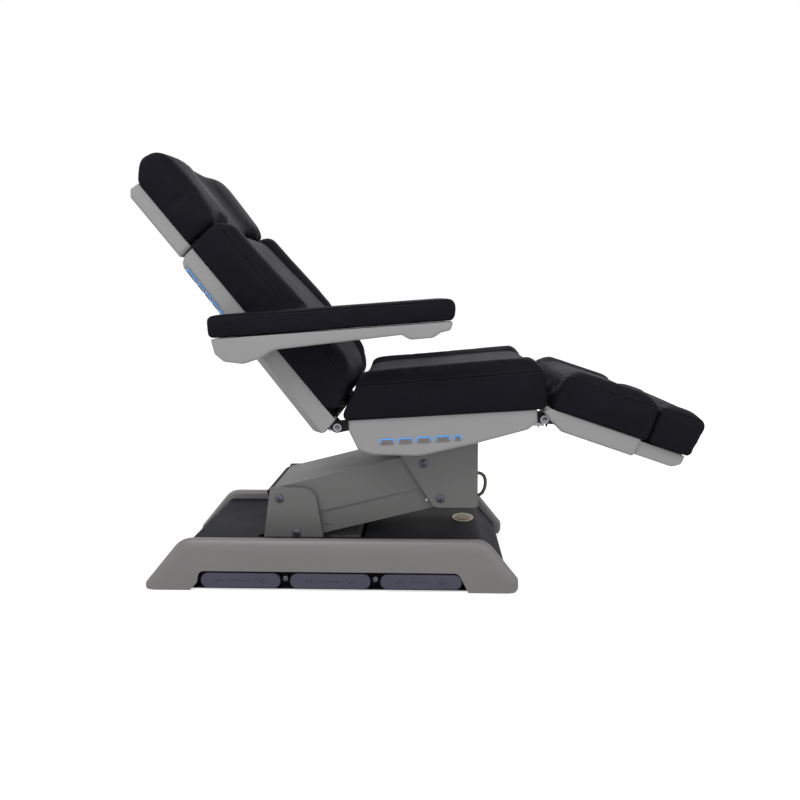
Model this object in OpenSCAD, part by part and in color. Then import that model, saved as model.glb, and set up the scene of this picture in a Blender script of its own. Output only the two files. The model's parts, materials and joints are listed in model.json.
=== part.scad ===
// Electric procedure table: a four-section padded couch on a parallelogram lift.
// X runs from the head end to the foot end, Y across the couch, Z up, origin on the floor.
// Each tilted section is drawn flat in its own frame, [along the section, up from its underside],
// and then placed, so the padding's underside is always at height 0 of that frame.

/* [Base] */
// X of the base's head end
base_head_x = -841; // [-845:1:-836]
// X of the base's foot end
base_foot_x = 313; // [308:1:316]
// Width over both skirts
base_width = 586; // [580:1:592]
// Height of the ridge along each skirt
skirt_height = 162; // [158:1:168]
// Height of the deck between the skirts
deck_height = 132; // [129:1:135]
// Length of one foot pedal
pedal_len = 246; // [230:1:248]
// Height of one foot pedal
pedal_height = 46; // [40:1:47]

/* [Lift] */
// Distance between the pivots of each lift arm
arm_len = 476; // [472:1:480]
// Slope of the lift arms as stored
arm_slope = 14; // [12:0.5:15]
// Width over the upper arm's cover
cover_width = 300; // [296:1:302]
// Width over the bracket plates
bracket_width = 330; // [326:1:334]

/* [Couch] */
// Width of the padded sections
couch_width = 600; // [590:1:605]
// Slope of the seat, foot end up
seat_slope = 3.3; // [3:0.1:3.6]
// Slope of the backrest from level
back_slope = 51.2; // [51:0.1:51.4]
// Slope of the leg section, foot end down
leg_slope = 19.1; // [19:0.1:19.3]
// Thickness of the padding at its side seam
pad_thickness = 104; // [98:1:106]
// Width of each armrest
armrest_width = 90; // [80:1:92]
// Slope of the armrests as stored
armrest_slope = 3.8; // [3:0.1:4.5]

/* [Fits] */
// Radial clearance of a pin that turns in a hole
run_gap = 0.05; // [0.03:0.01:0.09]
// Radius of the lift arms' shafts
shaft_r = 12; // [11:0.5:12]
// Radius of the section hinges' pins
hinge_pin_r = 8; // [7:0.5:8]

/* [Hidden] */

// Colours
plastic_grey = [0.62, 0.62, 0.63];
skirt_grey = [0.53, 0.52, 0.51];
metal_grey = [0.50, 0.50, 0.50];
frame_black = [0.13, 0.13, 0.14];
deck_black = [0.10, 0.10, 0.11];
pedal_blue = [0.30, 0.31, 0.38];
pad_black = [0.07, 0.07, 0.09];
key_blue = [0.15, 0.55, 0.85];
steel = [0.72, 0.72, 0.74];

// Pivots of the lift, the seat tilt and the section hinges, as [x, z] in the stored pose
pivot_a = [-436, 257];
pivot_b = [-384, 144];
arm_step = arm_len * [cos(arm_slope), sin(arm_slope)];
pivot_c = pivot_a + arm_step;
pivot_d = pivot_b + arm_step;
tilt_pivot = [-20, 470];
back_pivot = [-236, 499];
leg_pivot = [388, 524];
armrest_pivot = [-471, 764];

// Origins of the section frames
seat_origin = [-189, 531];
back_origin = [-239.5, 539.9];
leg_origin = [394, 567];

// Half widths and side layers
half_base = base_width / 2;
half_couch = couch_width / 2;
half_shell = half_couch - 15;
half_bracket = bracket_width / 2;
half_cover = cover_width / 2;
bracket_plate = 8;
plate_inner = half_bracket - bracket_plate;
hub_r = 18;
hub_end = plate_inner - 2;
seat_rail = [190, 220];
back_rail = [180, 210];
seat_lug = [220, 228];
back_lug = [210, 218];
frame_depth = 36;

// Places of actuator pins
lift_tail = [-705, 65];
lift_lever = [-374, 65];
tilt_tail = [150, 268];
tilt_eye = [150, 480];
back_tail = [110, 454];
back_eye = [-296, 454];
back_act_y = 50;
leg_act_y = -50;
leg_rod_x = 405.8;
leg_rod_z = 482;
eye_play = 6;

// Turns and unit vectors
function unit(v) = v / norm(v);
function ease(t) = let (c = max(0, min(1, t))) c * c * (3 - 2 * c);

// Rounded corner b of an anticlockwise outline, as [x, z, normal x, normal z] points
function corner_points(a, b, c, r, n) =
  let (u = unit(b - a), v = unit(c - b),
       turn = atan2(u.x * v.y - u.y * v.x, u * v), s = sign(turn),
       start = b - u * r * abs(tan(turn / 2)), first = [u.y, -u.x],
       centre = start - s * r * first, a0 = atan2(first.y, first.x))
  [for (k = [0:n]) let (m = [cos(a0 + turn * k / n), sin(a0 + turn * k / n)])
    [centre.x + s * r * m.x, centre.y + s * r * m.y, m.x, m.y]];

// Outline through [x, z, corner radius, extra points on the edge that follows] corners
function corner_of(c, i, n) = let (m = len(c), a = c[(i + m - 1) % m], b = c[i % m], d = c[(i + 1) % m])
  corner_points([a.x, a.y], [b.x, b.y], [d.x, d.y], b[2], n);
function outline(c, n = 4) = [for (i = [0:len(c) - 1])
  let (arc = corner_of(c, i, n), p = arc[n], q = corner_of(c, i + 1, n)[0],
       extra = len(c[i]) > 3 ? c[i][3] : 0)
  each concat(arc, [for (k = [1:1:extra]) p + (q - p) * k / (extra + 1)])];

function plain(c, n = 4) = [for (p = outline(c, n)) [p.x, p.y]];

// Corners with every edge moved in by d, but upright edges by side, and edges facing up (keep 1)
// or down (keep -1) by k
function outward(a, b) = let (v = unit([b.x - a.x, b.y - a.y])) [v.y, -v.x];
function moved(c, d, keep = 0, k = 0, side = undef) = let (m = len(c)) [for (i = [0:m - 1])
  let (b = c[i], n1 = outward(c[(i + m - 1) % m], b), n2 = outward(b, c[(i + 1) % m]),
       s = is_undef(side) ? d : side,
       d1 = keep * n1.y > 0.9 ? k : abs(n1.y) < 0.6 ? s : d,
       d2 = keep * n2.y > 0.9 ? k : abs(n2.y) < 0.6 ? s : d,
       det = n1.x * n2.y - n1.y * n2.x)
  [b.x + (d2 * n1.y - d1 * n2.y) / det, b.y + (d1 * n2.x - d2 * n1.x) / det,
   max(1, b[2] - sign(det) * max(d1, d2, 0))]];

// Rings of a shell across the table for [distance from its side, inset of its section, its ends' inset]
function ring(c, e, n) = plain(moved(c, e[1], 1, 0, e[2]), n);
function shell_rings(c, half, edges, n = 4) = concat(
  [for (e = edges) [e[0] - half, ring(c, e, n)]],
  [for (i = [len(edges) - 1:-1:0]) [half - edges[i][0], ring(c, edges[i], n)]]);

// Skin over rings of points, one ring for each [y, points in x and z]; y grows from ring to ring
module loft(rings) {
  n = len(rings);
  m = len(rings[0][1]);
  points = [for (r = rings) each [for (p = r[1]) [p.x, r[0], p.y]]];
  sides = [for (i = [0:n - 2]) each [for (j = [0:m - 1])
    let (a = i * m + j, b = i * m + (j + 1) % m) each [[a, b, b + m], [a, b + m, a + m]]]];
  caps = [[for (j = [m - 1:-1:0]) j], [for (j = [0:m - 1]) (n - 1) * m + j]];
  polyhedron(points, concat(sides, caps));
}

// The same skin with its two ends closed by triangles about a middle point
module loft_pad(rings, bulge) {
  n = len(rings);
  m = len(rings[0][1]);
  ends = [for (e = [0, n - 1])
    let (r = rings[e], c = [for (k = [0, 1]) [for (p = r[1]) p[k]] * [for (p = r[1]) 1] / m])
    [c.x, r[0] + (e == 0 ? -bulge : bulge), c.y]];
  points = concat([for (r = rings) each [for (p = r[1]) [p.x, r[0], p.y]]], ends);
  sides = [for (i = [0:n - 2]) each [for (j = [0:m - 1])
    let (a = i * m + j, b = i * m + (j + 1) % m) each [[a, b, b + m], [a, b + m, a + m]]]];
  caps = [for (j = [0:m - 1]) let (k = (j + 1) % m) each
    [[n * m, k, j], [n * m + 1, (n - 1) * m + j, (n - 1) * m + k]]];
  polyhedron(points, concat(sides, caps));
}

// The same skin with its two ends closed by triangles about a row of points with rising x
module loft_spine(rings, spine, bulge) {
  n = len(rings);
  m = len(rings[0][1]);
  count = len(spine);
  far = (n - 1) * m;
  near = [for (p = rings[0][1])
    len([for (i = [0:count - 2]) if (p.x > (spine[i].x + spine[i + 1].x) / 2) i])];
  points = concat([for (r = rings) each [for (p = r[1]) [p.x, r[0], p.y]]],
    [for (q = spine) [q.x, rings[0][0] - bulge, q.y]], [for (q = spine) [q.x, rings[n - 1][0] + bulge, q.y]]);
  sides = [for (i = [0:n - 2]) each [for (j = [0:m - 1])
    let (a = i * m + j, b = i * m + (j + 1) % m) each [[a, b, b + m], [a, b + m, a + m]]]];
  caps = [for (j = [0:m - 1]) let (k = (j + 1) % m, way = sign(near[k] - near[j]))
    each concat([[n * m + near[j], k, j], [n * m + count + near[j], far + j, far + k]],
      [for (t = [1:1:abs(near[k] - near[j])]) let (f = n * m + near[j] + way * (t - 1), g = f + way)
        each [[k, f, g], [far + k, g + count, f + count]]])];
  polyhedron(points, concat(sides, caps));
}

// Rounding of a shell's lower side edges, as for shell_rings
soft_edge = [[0, 9], [2, 5], [5, 1.5], [9, 0]];

// Placement and plain solids
module place(at, slope) translate([at.x, 0, at.y]) rotate([0, -slope, 0]) children();
module on_seat() place(seat_origin, seat_slope) children();
module on_back() place(back_origin, -back_slope) children();
module on_leg() place(leg_origin, -leg_slope) children();
module both_sides() {
  children();
  mirror([0, 1, 0]) children();
}
module plate(corners, y0, y1, n = 4) translate([0, y1, 0]) rotate([90, 0, 0])
  linear_extrude(y1 - y0) polygon(plain(corners, n));
module block(low, high) translate(low) cube(high - low);
// Box with an open underside, as a folded channel with closed ends
module channel(low, high, wall = 3) difference() {
  block(low, high);
  block(low + [wall, wall, -1], high - [wall, wall, wall]);
}
module rod_y(at, r, y0, y1) translate([at.x, y0, at.y]) rotate([-90, 0, 0])
  cylinder(r = r, h = y1 - y0, $fn = 48);
module rod_x(x0, x1, y, z, r) translate([x0, y, z]) rotate([0, 90, 0])
  cylinder(r = r, h = x1 - x0, $fn = 40);
// Round shaft across the table with a low domed head outside each end
module headed_shaft(at, r, reach, head_r, head_h) {
  rod_y(at, r, -reach, reach);
  both_sides() translate([at.x, reach, at.y]) rotate([-90, 0, 0]) rotate_extrude($fn = 48)
    intersection() {
      translate([0, head_h - head_r * 1.6]) circle(r = head_r * 1.6, $fn = 64);
      square([head_r, head_h]);
    }
}

// Base
skirt_corners = [
  [base_head_x, 1, 9], [base_foot_x, 1, 14], [base_foot_x, 40, 24],
  [base_foot_x - 97, skirt_height, 60], [base_head_x + 121, skirt_height, 70],
  [base_head_x, 18, 12]];
pedal_z = 10;
pedal_x = [for (k = [0:2]) base_head_x + 181 + 277 * k];
pedal_end = pedal_x[2] + pedal_len;
tray_y = half_base - 31;
recess_top = pedal_z + pedal_height + 7;
recess_corners = [
  [pedal_x[0] - 42, -6, 2], [pedal_end + 25, -6, 2], [pedal_end - 10, recess_top, 22],
  [pedal_x[0] - 6, recess_top, 20], [pedal_x[0] - 12, 26, 14]];
deck_head_x = base_head_x + 126;
deck_foot_x = base_foot_x - 110;
deck_run = [88, 80];
deck_lip = 42;
deck_opening = [[-494, -172], [-165, 172]];
deck_corners = [
  [deck_head_x - deck_run[0], 8, 1], [deck_foot_x + deck_run[1], 8, 1],
  [deck_foot_x + deck_run[1], deck_lip, 8], [deck_foot_x, deck_height, 24],
  [deck_head_x, deck_height, 24], [deck_head_x - deck_run[0], deck_lip, 8]];

module skirt() {
  shoulder = 21;
  drop = 36;
  ridge_y = half_base - shoulder;
  inner_y = half_base - 43;
  difference() {
    loft(concat(
      [for (t = [0:18:90]) [-half_base + shoulder * (1 - cos(t)),
        plain(moved(skirt_corners, drop * (1 - sin(t)), -1), 5)]],
      [for (e = [[ridge_y - 9, 2], [inner_y + 3, 7], [inner_y, 12]])
        [-e[0], plain(moved(skirt_corners, e[1], -1), 5)]]));
    plate(moved(skirt_corners, 20, -1, -9), -half_base + 5, -half_base + 14);
    plate(moved(skirt_corners, 9, -1, -9), -half_base + 13.9, -inner_y - 6);
    plate(moved(deck_corners, 5, -1, -20), -inner_y - 7, -inner_y + 1);
    plate(recess_corners, -half_base - 2, -half_base + 12);
  }
}
module right_skirt() color(skirt_grey) skirt();
module left_skirt() color(skirt_grey) mirror([0, 1, 0]) skirt();

module deck_panel() color(deck_black) difference() {
  plate(deck_corners, -half_base + 43.1, half_base - 43.1);
  plate(moved(deck_corners, 4, -1, -20), -half_base, half_base);
  block([deck_opening[0].x, deck_opening[0].y, 20], [deck_opening[1].x, deck_opening[1].y, 200]);
  both_sides() translate([deck_opening[0].x, half_bracket - 3, 20])
    cylinder(r = 15, h = 180, $fn = 48);
  power_inlet_place() block([-26, -16, -12], [26, 16, 20]);
}
module power_inlet_place() translate([deck_head_x - deck_run[0] / 2, 120, (deck_height + deck_lip) / 2])
  rotate([0, -atan((deck_height - deck_lip) / deck_run[0]), 0]) rotate(90) children();
module power_inlet() color(deck_black) power_inlet_place() difference() {
  union() {
    block([-25, -15, -22], [25, 15, 0]);
    difference() {
      block([-30, -20, 0.1], [30, 20, 2]);
      block([-20, -10, -1], [20, 10, 3]);
    }
  }
  block([-14, -9, -18], [14, 9, 3]);
}

frame_rail_y = [196, 236];
module base_frame() color(frame_black) difference() {
  union() {
    both_sides() {
      channel([-760, frame_rail_y[0], 10], [235, frame_rail_y[1], 50]);
      for (x = [-680, -240, 150]) channel([x, 202, 49], [x + 30, 230, deck_height - 4]);
      block([lift_tail.x - 20, 14, 10], [lift_tail.x + 17, 22, lift_tail.y + 15]);
    }
    for (x = [-730, 190]) channel([x, -frame_rail_y[0] - 1, 10], [x + 45, frame_rail_y[0] + 1, 40]);
    for (x = [-490, -340, -250])
      channel([x, -frame_rail_y[0] - 1, 10], [x + 40, frame_rail_y[0] + 1, 24]);
    rod_y(lift_tail, 8, -22, 22);
  }
  block([lift_tail.x - 18, -13, 41], [lift_tail.x - 8.5, 13, 90]);
}
module levelling_feet() color(deck_black) for (x = [-700, 180]) for (y = [-216, 216])
  translate([x, y, 0]) cylinder(r1 = 27, r2 = 24, h = 10, $fn = 48);

module pedal_tray() {
  low = [pedal_x[0] - 40, -half_base + 10, 4];
  high = [pedal_end + 28, -tray_y + 4, 68];
  difference() {
    block(low, high);
    block(low + [4, -1, 4], high - [4, 4, 4]);
  }
  for (x = pedal_x) translate([x + pedal_len / 2, -half_base + 23, 6])
    cylinder(r = 4, h = 60, $fn = 32);
  block([-560, -tray_y + 4, 20], [-500, -frame_rail_y[1], 44]);
  block([-60, -tray_y + 4, 20], [0, -frame_rail_y[1], 44]);
}
module pedal_trays() color(deck_black) both_sides() pedal_tray();
module pedal_bosses() color(steel) both_sides() for (k = [1, 2])
  translate([pedal_x[k] - 16, -tray_y, 37]) rotate([90, 0, 0]) {
    cylinder(r = 5, h = 19, $fn = 32);
    translate([0, 0, 19]) rotate_extrude($fn = 40) intersection() {
      translate([0, -8]) circle(r = 13, $fn = 48);
      square([8.5, 5]);
    }
  }

// Rocker pedal about an upright pin at its middle
module pedal(k) color(pedal_blue) {
  x0 = pedal_x[k];
  mid = x0 + pedal_len / 2;
  face = [[x0, pedal_z, 20], [x0 + pedal_len, pedal_z, 20], [x0 + pedal_len, pedal_z + pedal_height, 22],
    [x0, pedal_z + pedal_height, 22]];
  pin_y = -half_base + 23;
  difference() {
    union() {
      plate(face, -half_base + 2, -half_base + 12);
      translate([mid, pin_y, pedal_z + 3]) cylinder(r = 7.5, h = pedal_height - 6, $fn = 40);
      block([mid - 6, -half_base + 11, pedal_z + 3], [mid + 6, pin_y - 6, pedal_z + pedal_height - 3]);
    }
    translate([mid, pin_y, 0]) cylinder(r = 4 + run_gap, h = 80, $fn = 32);
  }
}

module lower_bracket() color(metal_grey) difference() {
  side = [[-506, 24, 2], [-284, 24, 2], [-322, 292, 48], [-465, 292, 6]];
  union() {
    both_sides() plate(side, plate_inner, half_bracket);
    block([-500, -plate_inner, 24], [-290, plate_inner, 32]);
  }
  for (p = [pivot_a, pivot_b]) rod_y(p, shaft_r + run_gap, -200, 200);
}
module lower_pivot_shafts() color(steel) for (p = [pivot_a, pivot_b])
  headed_shaft(p, shaft_r, half_bracket + 1, 13, 8);

module control_box() color(metal_grey) difference() {
  block([-285, -110, 24], [-182, 110, 116]);
  block([-282, -107, 27], [-185, 107, 113]);
  for (y = [-90:20:90]) block([-270, y - 4, 110], [-200, y + 4, 120]);
}
module badge_plate() color([0.75, 0.65, 0.38]) translate([158, 34, deck_height])
  linear_extrude(2.5) polygon([for (a = [0:10:350]) [36 * cos(a), 46 * sin(a)]]);

// Lift arms, drawn level with the rear pivot at the origin
module arm_plates(r, tie_z) {
  both_sides() plate([[-r, -r, r - 1], [arm_len + r, -r, r - 1], [arm_len + r, r, r - 1],
    [-r, r, r - 1]], 118, 128);
  block([200, -118, tie_z - 20], [260, 118, tie_z + 20]);
}
module arm_hubs() for (x = [0, arm_len]) rod_y([x, 0], hub_r, -hub_end, hub_end);
module arm_bores() for (x = [0, arm_len]) rod_y([x, 0], shaft_r + run_gap, -200, 200);
module upper_arm() color(frame_black) place(pivot_a, arm_slope) difference() {
  union() {
    arm_plates(25, 0);
    arm_hubs();
  }
  arm_bores();
}
cover_wall = 2.5;
module upper_arm_cover() color(metal_grey) place(pivot_a, arm_slope) difference() {
  side = [[-17, -75, 3], [470, -79, 3], [470, 20, 10], [430, 34, 20], [-17, 34, 2]];
  plate(side, -half_cover, half_cover);
  plate([[-50, -100, 1], [500, -100, 1], [500, 34 - cover_wall, 1], [-50, 34 - cover_wall, 1]],
    -half_cover + cover_wall, half_cover - cover_wall);
  for (x = [0, arm_len]) rod_y([x, 0], hub_r + 1, -200, 200);
}
module upper_cover_strip() color(deck_black) place(pivot_a, arm_slope)
  plate([[-37, -18, 2], [-27.3, -18, 2], [-27.3, 27, 1], [-17.3, 27, 1], [-17.3, 35, 2], [-37, 31, 3]],
    -half_cover, half_cover);
lever_at = lift_lever - pivot_b;
lever_local = [lever_at.x * cos(arm_slope) + lever_at.y * sin(arm_slope),
  lever_at.y * cos(arm_slope) - lever_at.x * sin(arm_slope)];
module lower_arm() color(frame_black) place(pivot_b, arm_slope) {
  difference() {
    union() {
      arm_plates(22, 0);
      arm_hubs();
      both_sides() hull() {
        rod_y([0, 0], hub_r, 13, 21);
        rod_y(lever_local, 15, 13, 21);
      }
    }
    arm_bores();
  }
  rod_y(lever_local, 8, -21, 21);
}
module lower_arm_cover() color(metal_grey) place(pivot_b, arm_slope) difference() {
  outer = half_cover - 6;
  side = [[66, -28, 3], [474, -28, 3], [474, 60, 3], [450, 85, 3], [66, 85, 3]];
  plate(side, -outer, outer);
  plate([[40, -28 + cover_wall, 1], [500, -28 + cover_wall, 1], [500, 100, 1], [40, 100, 1]],
    -outer + cover_wall, outer - cover_wall);
  rod_y([arm_len, 0], hub_r + 2, -200, 200);
}
module lower_cover_screws() color(steel) place(pivot_b, arm_slope) for (x = [101, 431]) both_sides()
  translate([x, half_cover - 6, 1]) rotate([-90, 0, 0]) cylinder(r1 = 6, r2 = 4.5, h = 2.5, $fn = 32);

// Linear actuators, drawn along +X from their tail pin
module actuator_body(tail_bore, length, r, rod_r) difference() {
  union() {
    rod_y([0, 0], 15, -11, 11);
    block([8, -10, -12], [26, 10, 12]);
    rod_x(20, length, 0, 0, r);
    rod_x(30, 150, r + 20, 0, 21);
    block([24, -r * 0.7, -r * 0.8], [70, r + 38, r * 0.8]);
  }
  rod_y([0, 0], tail_bore, -20, 20);
  rod_x(60, length + 1, 0, 0, rod_r + run_gap);
}
module actuator_rod(from, eye, r, pin_r, tab_r) difference() {
  union() {
    rod_x(from, eye - tab_r + 4, 0, 0, r);
    rod_y([eye, 0], tab_r, -9, 9);
  }
  rod_y([eye, 0], pin_r + eye_play, -20, 20);
}
module lift_actuator() color(frame_black) place(lift_tail, 0) actuator_body(8 + run_gap, 200, 24, 11);
module lift_actuator_rod() color(steel) place(lift_tail, 0)
  actuator_rod(130, lift_lever.x - lift_tail.x, 11, 8, 19);
module tilt_actuator() color(frame_black) place(tilt_tail, 90) difference() {
  union() {
    rod_y([0, 0], 13, -11, 11);
    block([6, -9, -11], [20, 9, 11]);
    rod_x(14, 135, 0, 0, 20);
    rod_x(24, 100, 36, 0, 17);
    block([18, -12, -14], [50, 50, 14]);
  }
  rod_y([0, 0], 7 + run_gap, -20, 20);
  rod_x(40, 140, 0, 0, 9 + run_gap);
}
module tilt_actuator_rod() color(steel) place(tilt_tail, 90) difference() {
  union() {
    rod_x(60, tilt_eye.y - tilt_tail.y - 10, 0, 0, 9);
    rod_y([tilt_eye.y - tilt_tail.y, 0], 15, -8, 8);
  }
  rod_y([tilt_eye.y - tilt_tail.y, 0], 9, -20, 20);
}
module back_actuator() color(frame_black) translate([0, back_act_y, 0])
  place(back_tail, 180) mirror([0, 1, 0]) actuator_body(7 + run_gap, 230, 20, 9);
module back_actuator_rod() color(steel) translate([0, back_act_y, 0]) place(back_tail, 180)
  actuator_rod(160, back_tail.x - back_eye.x, 9, 7, 18);
module leg_actuator() color(frame_black) translate([0, leg_act_y, 0])
  place([60, leg_rod_z], 0) mirror([0, 1, 0]) actuator_body(7 + run_gap, 158, 20, 9);
module leg_actuator_rod() color(steel) translate([leg_rod_x, leg_act_y, leg_rod_z]) {
  rod_x(-228, -28, 0, 0, 9);
  block([-30, -15, -8], [-21, 15, 8]);
  both_sides() block([-22, 9, -8], [8, 15, 8]);
  rod_y([0, 0], 6, -12, 12);
}

// Column head on the lift arms
module upper_bracket() color(metal_grey) difference() {
  side = [[58, 229, 26], [195, 229, 9], [195, 440, 3], [30, 440, 20], [6, 496, 22], [-46, 496, 22],
    [-74, 440, 4]];
  union() {
    both_sides() plate(side, plate_inner, half_bracket);
    block([187, -plate_inner, 229], [195, plate_inner, 440]);
    block([-40, -plate_inner, 406], [116, plate_inner, 411]);
    both_sides() block([tilt_tail.x - 14, 13, tilt_tail.y - 14], [188, 19, tilt_tail.y + 12]);
    rod_y(tilt_tail, 7, -19, 19);
  }
  for (p = [pivot_c, pivot_d]) rod_y(p, shaft_r + run_gap, -200, 200);
  rod_y(tilt_pivot, 10 + run_gap, -200, 200);
  for (z = cable_ends) rod_x(180, 200, cable_y, z, 11);
}
module upper_pivot_shafts() color(steel) {
  for (p = [pivot_c, pivot_d]) headed_shaft(p, shaft_r, half_bracket + 1, 13, 8);
  both_sides() {
    rod_y(tilt_pivot, 10, 140, half_bracket + 1);
    rod_y(tilt_pivot, 14, half_bracket + 1, half_bracket + 5);
  }
}

// Cable loop held between two grommets in the column's front plate
cable_y = -100;
cable_ends = [326, 252];
cable_r = 5.5;
cable_route = [[180, 326], [190, 326], [202, 326], [212, 323], [219, 316], [223, 306], [224, 295],
  [223, 284], [220, 272], [214, 260], [205, 253], [194, 252], [180, 252]];
module cable_loop() color([0.25, 0.26, 0.22]) {
  sides = 10;
  n = len(cable_route);
  way = [for (i = [0:n - 1]) i == 0 || i == n - 1 ? [i == 0 ? 1 : -1, 0]
    : unit(cable_route[i + 1] - cable_route[i - 1])];
  points = [for (i = [0:n - 1]) each [for (k = [0:sides - 1])
    let (a = 360 * k / sides, p = cable_route[i], side = cable_r * cos(a))
    [p.x - side * way[i].y, cable_y + cable_r * sin(a), p.y + side * way[i].x]]];
  skin = [for (i = [0:n - 2]) each [for (k = [0:sides - 1])
    let (a = i * sides + k, b = i * sides + (k + 1) % sides)
    each [[a, b, b + sides], [a, b + sides, a + sides]]]];
  ends = [[for (k = [sides - 1:-1:0]) k], [for (k = [0:sides - 1]) (n - 1) * sides + k]];
  polyhedron(points, concat(skin, ends));
}
module cable_grommets() color(deck_black) for (z = cable_ends) difference() {
  union() {
    rod_x(185, 198, cable_y, z, 10.9);
    rod_x(195.2, 199, cable_y, z, 14);
  }
  rod_x(170, 210, cable_y, z, cable_r + 0.4);
}

// Seat section
seat_len = 575;
// Plate that hangs from the frame around a pin
module pin_ear(at, y0, y1) plate([[at.x - 14, at.y - 14, 12], [at.x + 14, at.y - 14, 12],
  [at.x + 16, -3, 1], [at.x - 16, -3, 1]], y0, y1);
function seat_local(p) = let (d = p - seat_origin)
  [d.x * cos(seat_slope) + d.y * sin(seat_slope), d.y * cos(seat_slope) - d.x * sin(seat_slope)];
module seat_frame() color(frame_black) on_seat() difference() {
  tilt = seat_local(tilt_pivot);
  rear = seat_local(back_pivot);
  front = seat_local(leg_pivot);
  eye = seat_local(tilt_eye);
  tail = seat_local(back_tail);
  leg_tail = seat_local([60, leg_rod_z]);
  union() {
    both_sides() {
      channel([0, seat_rail[0], -frame_depth], [530, seat_rail[1], -1]);
      plate([[rear.x - 20, rear.y - 20, 18], [30, -frame_depth + 2, 4], [30, -6, 4],
        [rear.x - 20, rear.y + 20, 18]], seat_lug[0], seat_lug[1]);
      plate([[500, -frame_depth + 2, 4], [front.x + 20, front.y - 20, 18],
        [front.x + 20, front.y + 20, 18], [500, -6, 4]], seat_lug[0], seat_lug[1]);
      plate([[tilt.x - 16, tilt.y - 16, 14], [tilt.x + 16, tilt.y - 16, 14], [tilt.x + 30, -20, 4],
        [tilt.x - 30, -20, 4]], 145, 153);
      pin_ear(eye, 10, 18);
    }
    for (y = [-19, 13]) {
      pin_ear(tail, back_act_y + y, back_act_y + y + 6);
      pin_ear(leg_tail, leg_act_y + y, leg_act_y + y + 6);
    }
    for (span = [[10, 50], [tilt.x - 20, tilt.x + 20], [leg_tail.x - 20, leg_tail.x + 20],
      [tail.x - 20, eye.x + 20], [470, 510]])
      channel([span[0], -seat_rail[0] - 1, -30], [span[1], seat_rail[0] + 1, -1]);
    rod_y(eye, 7, -18, 18);
    rod_y(tail, 7, back_act_y - 19, back_act_y + 19);
    rod_y(leg_tail, 7, leg_act_y - 19, leg_act_y + 19);
  }
  rod_y(tilt, 10 + run_gap, -200, 200);
  for (p = [rear, front]) both_sides() rod_y(p, hinge_pin_r + run_gap, 205, 240);
}
module hinge_pins() color(steel) for (p = [back_pivot, leg_pivot]) both_sides() {
  rod_y(p, hinge_pin_r, 206, seat_lug[1] + 1);
  rod_y(p, 13, seat_lug[1] + 1, seat_lug[1] + 6);
}
module seat_shell() color(plastic_grey) on_seat() difference() {
  section = [[-8, -1, 2], [-8, -35, 12], [16, -95, 18], [60, -110, 60], [200, -121, 120], [370, -91, 200],
    [520, -59, 20], [548, -37, 12], [548, -1, 2]];
  loft(shell_rings(section, half_shell, soft_edge));
  plate(moved(section, 4, 1, -6), -half_shell + 9, half_shell - 9);
  block([96, -172, -140], [404, 172, -60]);
  block([380, leg_act_y - 28, -140], [560, leg_act_y + 28, -20]);
  block([-20, back_act_y - 24, -130], [118, back_act_y + 24, -56]);
  both_sides() {
    block([-20, seat_lug[0] - 5, -60], [0, seat_lug[1] + 5, 2]);
    block([518, back_lug[0] - 5, -80], [560, seat_lug[1] + 5, 2]);
  }
}

// Rounded key caps in a row along a shell's side, [start, length] each
function key_row(first, sizes, gap, i = 0) = i == len(sizes) ? [] :
  concat([[first, sizes[i]]], key_row(first + sizes[i] + gap, sizes, gap, i + 1));
module key_caps(keys, z0, z1, y0, y1) for (k = keys)
  plate([[k[0], z0, 5], [k[0] + k[1], z0, 5], [k[0] + k[1], z1, 5], [k[0], z1, 5]], y0, y1);
module seat_keypads() color(key_blue) on_seat() both_sides() {
  row = key_row(82, [42, 42, 42, 42, 20], 13);
  key_caps(row, -80, -63, half_shell + 0.1, half_shell + 2);
}

// Padded form: a side outline that swells upward, drawn in at its seams.
// across gives the share of the crown at each distance from the middle, ends the easing at each end
function pad_rings(line, half, edge, stations, crown) = [for (s = stations)
  let (d = s[1]) [s[0], [for (p = line) let (q = [p.x - p[2] * d, p.y - p[3] * d])
    [q.x, q.y + max(0, p[3]) * crown(q.x, abs(s[0]))]]]];
function pad_stations(half, edge, inner) = concat(
  [for (t = [0:30:90]) [-half + edge * (1 - cos(t)), edge * 0.8 * (1 - sin(t))]],
  [for (y = inner) [y, 0]],
  [for (t = [90:-30:0]) [half - edge * (1 - cos(t)), edge * 0.8 * (1 - sin(t))]]);
pad_inner = [-262, -240, -216, -205, -194, -130, 0, 130, 194, 205, 216, 240, 262];
function across(y) = lookup(y, [[0, 0.58], [130, 0.56], [194, 0.5], [205, 0.4], [216, 0.62],
  [240, 0.98], [262, 0.92], [286, 0.45], [300, 0]]);

module seat_cushion() color(pad_black) on_seat() {
  line = outline([[-32, 0, 14, 0], [seat_len, 0, 16, 2], [seat_len + 3, pad_thickness + 12, 18, 8],
    [24, pad_thickness - 1, 16, 2]], 4);
  crown = function(x, y) 33 * across(y) * ease((x + 15) / 60) * ease((seat_len + 20 - x) / 60);
  loft_pad(pad_rings(line, half_couch, 14, pad_stations(half_couch, 14, pad_inner), crown), -2);
}

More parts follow.
